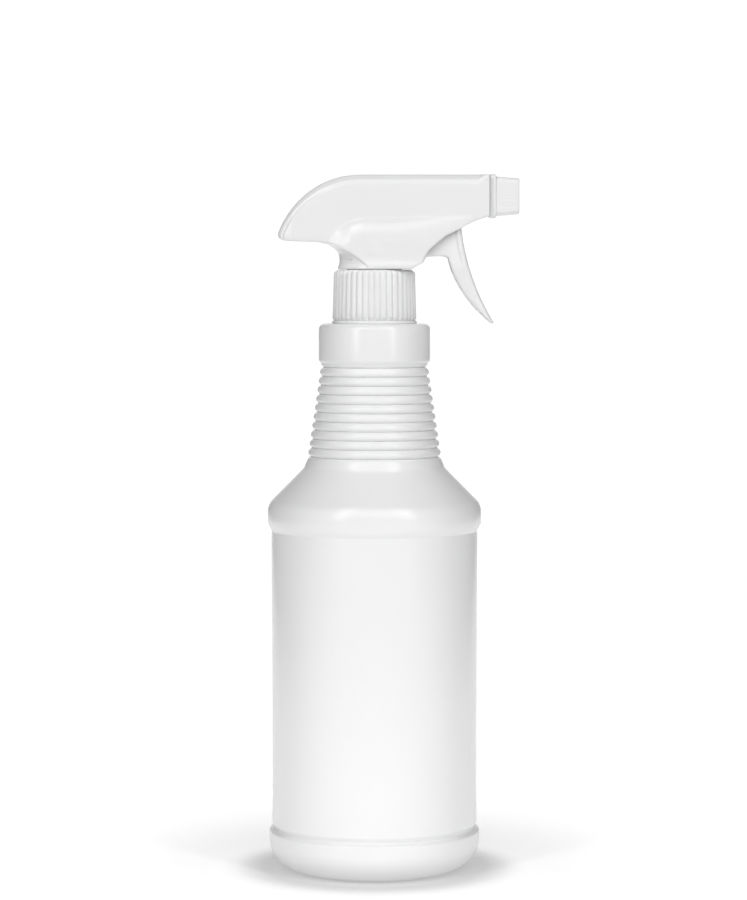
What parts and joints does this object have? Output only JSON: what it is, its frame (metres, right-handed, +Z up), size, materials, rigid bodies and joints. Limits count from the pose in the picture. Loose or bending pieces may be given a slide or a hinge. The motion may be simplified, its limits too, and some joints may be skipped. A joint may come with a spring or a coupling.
{
  "type": "spray bottle",
  "caption": "Hand trigger spray bottle with a ribbed conical neck, screw closure, pump head and turning square nozzle.",
  "frame": {"origin": "centre of the bottle's standing ring, on the bottle's axis, in the plane it stands on", "axes": "+Z up along the bottle's axis, +X the way the nozzle sprays, +Y to the sprayer's left"},
  "size_m": [0.1047, 0.0894, 0.2901],
  "materials": {
    "bottle_plastic": "satin natural-white HDPE",
    "sprayer_plastic": "satin white polypropylene",
    "clear_plastic": "milky unpigmented polyethylene",
    "seal_plastic": "soft natural polyethylene",
    "seal_foam": "closed-cell foam",
    "seal_rubber": "matt nitrile rubber",
    "steel": "drawn stainless steel"
  },
  "bodies": {
    "bottle": {"bottle": "bottle_plastic"},
    "gasket": {"neck_gasket": "seal_foam"},
    "closure": {"closure_cap": "sprayer_plastic"},
    "head": {"shroud": "sprayer_plastic", "pump_body": "sprayer_plastic", "tube_retainer": "clear_plastic", "dip_tube": "clear_plastic", "tube_filter": "clear_plastic", "return_spring": "steel", "valve_seat": "clear_plastic", "valve_spring": "steel", "swirl_core": "clear_plastic", "nozzle_seal": "seal_rubber"},
    "trigger": {"trigger": "sprayer_plastic"},
    "plunger": {"piston_rod": "sprayer_plastic", "pressure_cup": "seal_plastic", "vent_cup": "seal_plastic"},
    "inlet_ball": {"inlet_ball": "steel"},
    "outlet_valve": {"outlet_valve": "seal_plastic"},
    "nozzle": {"nozzle_cap": "sprayer_plastic", "orifice_disc": "clear_plastic"}
  },
  "joints": [
    {"name": "head_lift", "type": "slide", "parent": "bottle", "child": "gasket", "axis": [0, 0, 1], "range_m": [0, 0.00634]},
    {"name": "closure_turn", "type": "hinge", "parent": "gasket", "child": "closure", "pos_m": [0, 0, 0.24], "axis": [0, 0, 1], "range_deg": [0, 540]},
    {"name": "head_swivel", "type": "hinge", "parent": "gasket", "child": "head", "pos_m": [0, 0, 0.2479], "axis": [0, 0, 1], "continuous": true},
    {"name": "trigger_squeeze", "type": "hinge", "parent": "head", "child": "trigger", "pos_m": [0.034, 0, 0.279], "axis": [0, 1, 0], "range_deg": [0, 20], "stiffness_Nm_per_rad": 0.8, "springref_deg": -5.73},
    {"name": "plunger_slide", "type": "slide", "parent": "head", "child": "plunger", "axis": [-1, 0, 0], "range_m": [0, 0.00641], "deforming": ["return_spring"]},
    {"name": "inlet_ball_lift", "type": "slide", "parent": "head", "child": "inlet_ball", "axis": [0, 0, 1], "range_m": [0, 0.0015]},
    {"name": "outlet_valve_open", "type": "slide", "parent": "head", "child": "outlet_valve", "axis": [1, 0, 0], "range_m": [0, 0.0008], "stiffness_N_per_m": 100, "springref_m": -0.001, "deforming": ["valve_spring"]},
    {"name": "nozzle_turn", "type": "hinge", "parent": "head", "child": "nozzle", "pos_m": [0.05, 0, 0.2812], "axis": [1, 0, 0], "continuous": true}
  ],
  "couplings": [
    {"joint": "closure_turn", "follows": "head_lift", "rad_per_m": 1484.3},
    {"joint": "trigger_squeeze", "follows": "plunger_slide", "rad_per_m": 54.372}
  ]
}
